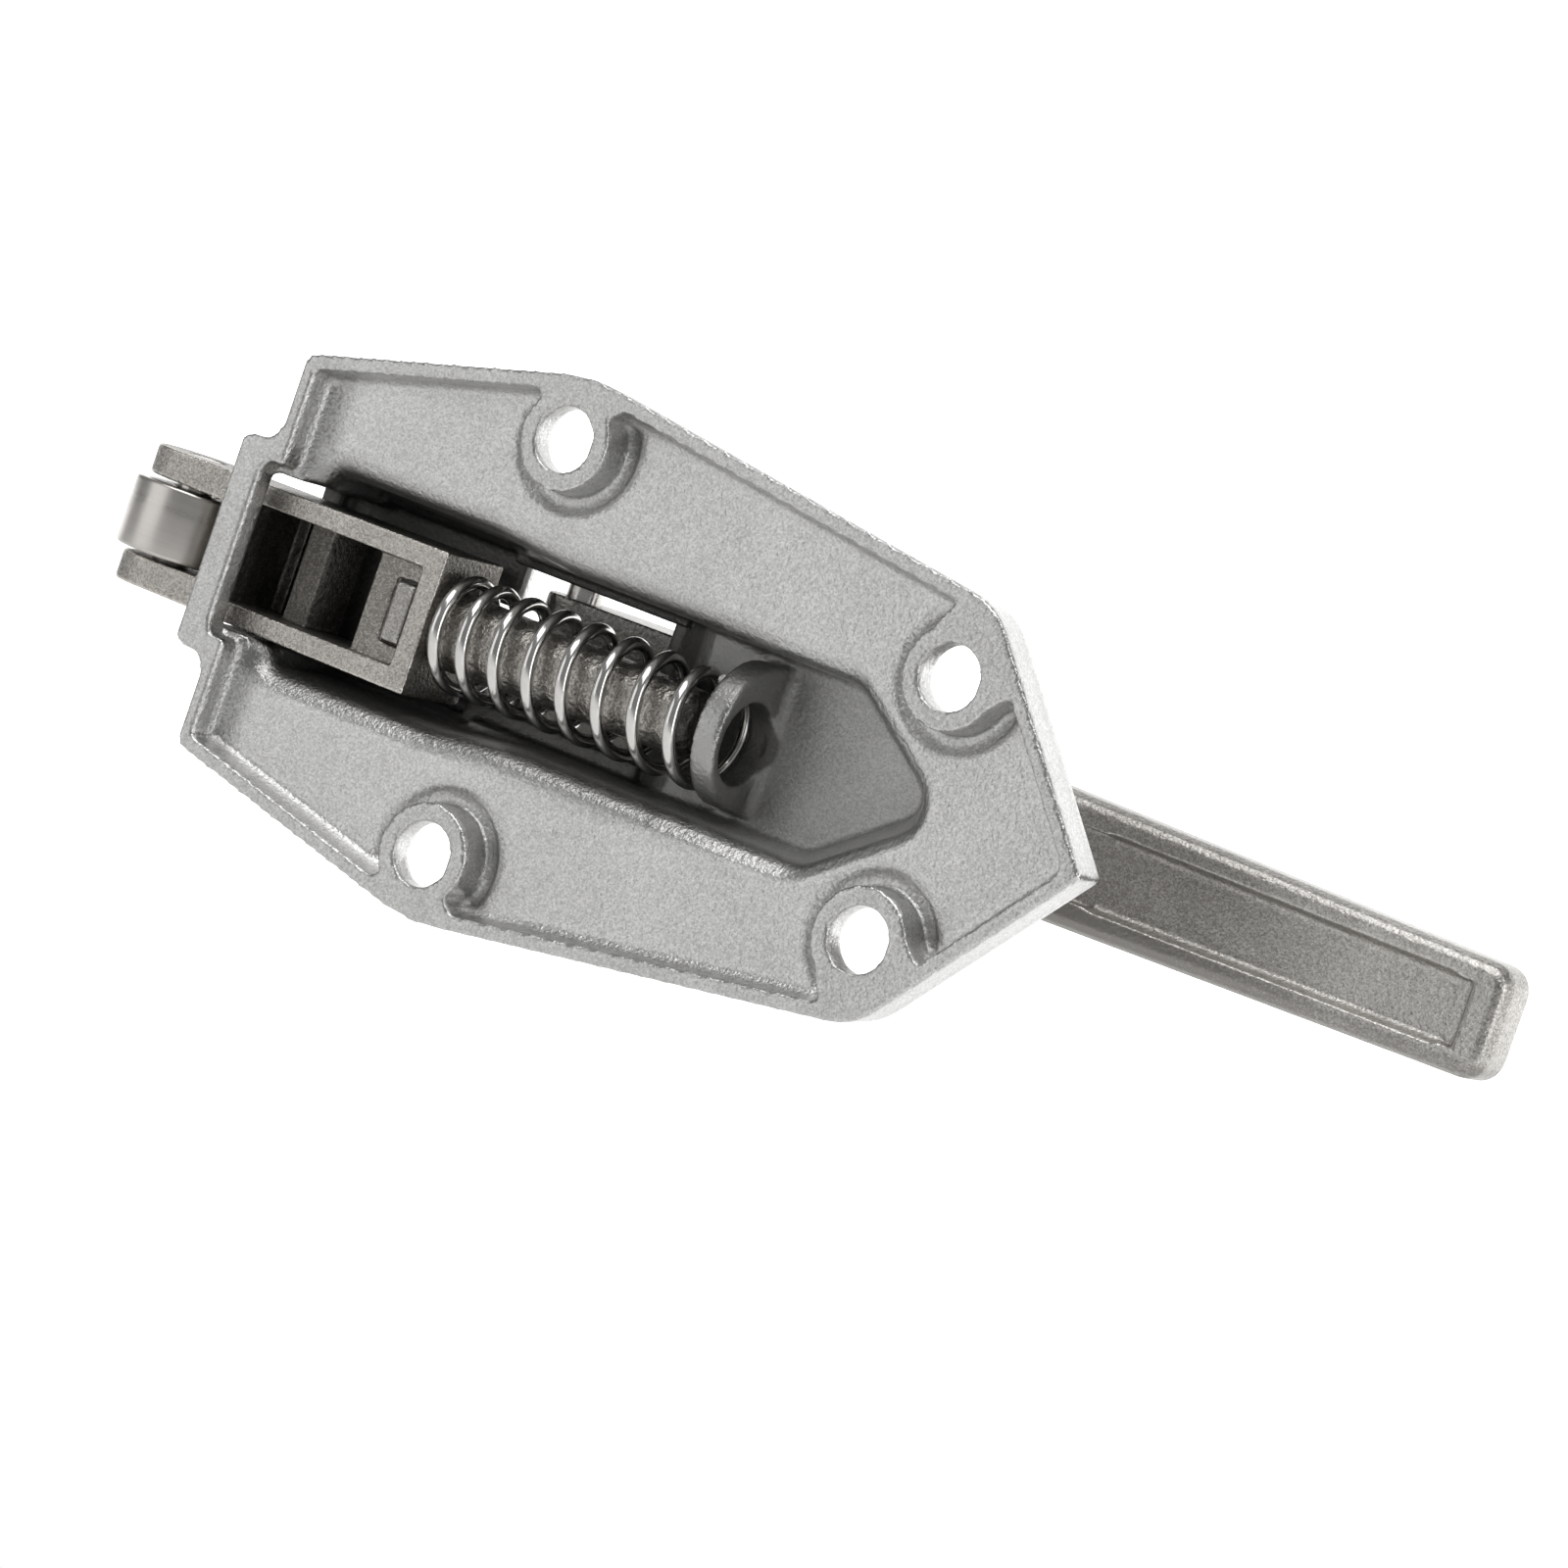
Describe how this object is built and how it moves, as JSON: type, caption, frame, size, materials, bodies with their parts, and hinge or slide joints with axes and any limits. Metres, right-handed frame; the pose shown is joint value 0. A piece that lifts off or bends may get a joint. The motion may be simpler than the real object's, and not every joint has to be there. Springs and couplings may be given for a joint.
{
  "type": "fridge latch",
  "caption": "Surface latch for a cold-room or fridge door: cast housing with a spring-loaded roller bolt, drawn back by a pull handle on a cross pin.",
  "frame": {"origin": "on the mounting face, midway between the two screw holes nearer the roller", "axes": "+X along the bolt from the roller toward the grip, +Y out of the mounting face toward the front, +Z across"},
  "size_m": [0.1644, 0.0322, 0.0586],
  "materials": {
    "housing": "satin",
    "handle": "cast",
    "pivot_pin": "polished",
    "bolt": "cast",
    "roller": "turned",
    "roller_pin": "satin",
    "spring": "polished"
  },
  "bodies": {
    "body": {"housing": "housing", "pivot_pin": "pivot_pin", "spring": "spring"},
    "lever": {"handle": "handle"},
    "bolt": {"bolt": "bolt", "roller_pin": "roller_pin"},
    "wheel": {"roller": "roller"}
  },
  "joints": [
    {"name": "handle_pivot", "type": "hinge", "parent": "body", "child": "lever", "pos_m": [-0.0049, 0.021, 0], "axis": [0, 0, 1], "range_deg": [0, 25]},
    {"name": "bolt_slide", "type": "slide", "parent": "body", "child": "bolt", "axis": [1, 0, 0], "range_m": [0, 0.0078], "stiffness_N_per_m": 1200, "springref_m": -0.008, "deforming": ["spring"]},
    {"name": "roller_spin", "type": "hinge", "parent": "bolt", "child": "wheel", "pos_m": [-0.0493, 0.01, -0.0007], "axis": [0, 0, 1], "continuous": true}
  ],
  "couplings": [
    {"joint": "bolt_slide", "follows": "handle_pivot", "m_per_rad": 0.017623}
  ]
}
